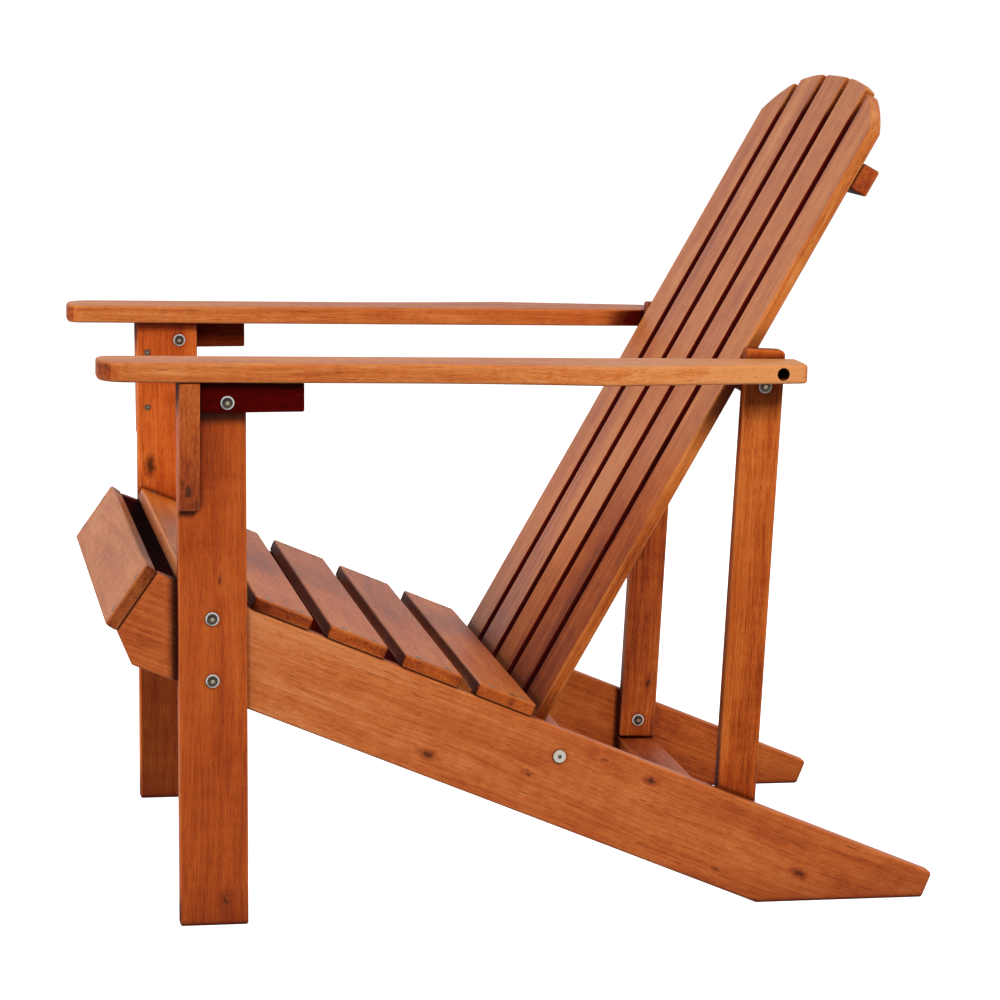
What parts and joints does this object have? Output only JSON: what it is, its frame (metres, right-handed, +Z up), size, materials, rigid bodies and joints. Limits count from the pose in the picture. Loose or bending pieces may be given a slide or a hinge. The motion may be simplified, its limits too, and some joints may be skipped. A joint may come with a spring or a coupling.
{
  "type": "adirondack chair",
  "caption": "Low wooden garden armchair with a sloping slatted seat, a fan-topped slatted reclining back, wide flat arms on front legs, and rails that run back to the floor",
  "frame": {"origin": "on the floor, at the centre of the bounding box in plan", "axes": "+Z up; the sitter faces -Y, so -Y is the front and +Y the back; +X is the sitter's left, and the chair is mirror-symmetric about X = 0"},
  "size_m": [0.752, 0.8759, 0.8555],
  "materials": {
    "rail_wood": "oiled acacia, satin, orange-brown with darker streaks and knots",
    "leg_wood": "oiled acacia, satin, orange-brown with upright grain",
    "arm_wood": "oiled acacia, satin, slightly paler on the top face",
    "upright_wood": "oiled acacia, satin, darker red-brown",
    "seat_wood": "oiled acacia, satin, varied from board to board",
    "back_wood": "oiled acacia, satin, varied from board to board",
    "bolts": "zinc-plated furniture bolts with domed socket heads, darkened",
    "washers": "bright zinc-plated plain washers and cross dowels"
  },
  "bodies": {
    "root": {"arm_cleat_left": "arm_wood", "arm_cleat_right": "arm_wood", "arm_corbel_left": "leg_wood", "arm_corbel_right": "leg_wood", "arm_left": "arm_wood", "arm_rear_bolt_left": "bolts", "arm_rear_bolt_left_washer": "washers", "arm_rear_bolt_right": "bolts", "arm_rear_bolt_right_washer": "washers", "arm_right": "arm_wood", "back_slat_1": "back_wood", "back_slat_2": "back_wood", "back_slat_3": "back_wood", "back_slat_4": "back_wood", "back_slat_5": "back_wood", "barrel_nut_left": "bolts", "barrel_nut_right": "bolts", "cleat_bolt_left": "bolts", "cleat_bolt_left_washer": "washers", "cleat_bolt_right": "bolts", "cleat_bolt_right_washer": "washers", "cleat_nut_left": "bolts", "cleat_nut_right": "bolts", "cleat_nut_washer_left": "washers", "cleat_nut_washer_right": "washers", "front_apron": "seat_wood", "front_leg_left": "leg_wood", "front_leg_right": "leg_wood", "leg_bolt_lower_left": "bolts", "leg_bolt_lower_left_washer": "washers", "leg_bolt_lower_right": "bolts", "leg_bolt_lower_right_washer": "washers", "leg_bolt_upper_left": "bolts", "leg_bolt_upper_left_washer": "washers", "leg_bolt_upper_right": "bolts", "leg_bolt_upper_right_washer": "washers", "lower_back_batten": "upright_wood", "middle_back_batten": "upright_wood", "middle_batten_bolt_left": "bolts", "middle_batten_bolt_left_washer": "washers", "middle_batten_bolt_right": "bolts", "middle_batten_bolt_right_washer": "washers", "rail_bolt_left": "bolts", "rail_bolt_right": "bolts", "rear_stretcher": "upright_wood", "rear_upright_left": "upright_wood", "rear_upright_right": "upright_wood", "seat_slat_1": "seat_wood", "seat_slat_2": "seat_wood", "seat_slat_3": "seat_wood", "seat_slat_4": "seat_wood", "seat_slat_5": "seat_wood", "side_rail_left": "rail_wood", "side_rail_right": "rail_wood", "upper_back_batten": "upright_wood", "upright_foot_bolt_left": "bolts", "upright_foot_bolt_left_washer": "washers", "upright_foot_bolt_right": "bolts", "upright_foot_bolt_right_washer": "washers"}
  },
  "joints": []
}
